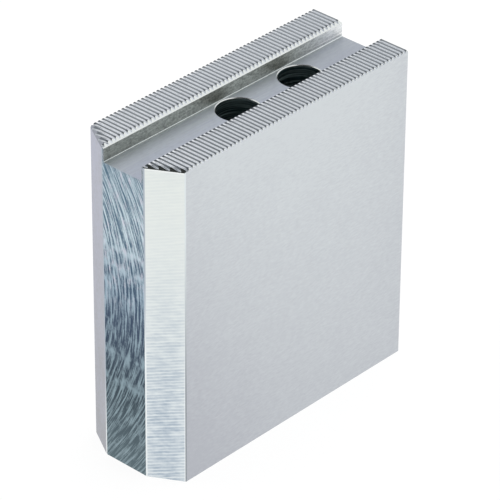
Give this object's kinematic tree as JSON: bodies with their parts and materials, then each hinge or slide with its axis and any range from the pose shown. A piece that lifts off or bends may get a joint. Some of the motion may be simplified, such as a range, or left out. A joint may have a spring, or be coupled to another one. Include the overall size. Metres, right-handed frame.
{
  "type": "machinable soft jaw",
  "caption": "Tall steel soft jaw for a power chuck, with a pointed nose, a serrated mounting face, a key slot and stepped bolt holes.",
  "frame": {"origin": "middle of the rectangle that encloses the clamping face, at the level of that face", "axes": "+X from the pointed nose to the rear end, +Y across the jaw, +Z from the clamping face to the serrated mounting face"},
  "size_m": [0.095, 0.035, 0.1],
  "materials": {
    "steel": "bare mild steel: ground sides, milled nose faces and key slot, raw saw cut at the nose and the rear end"
  },
  "bodies": {
    "root": {"soft_jaw": "steel"}
  },
  "joints": []
}
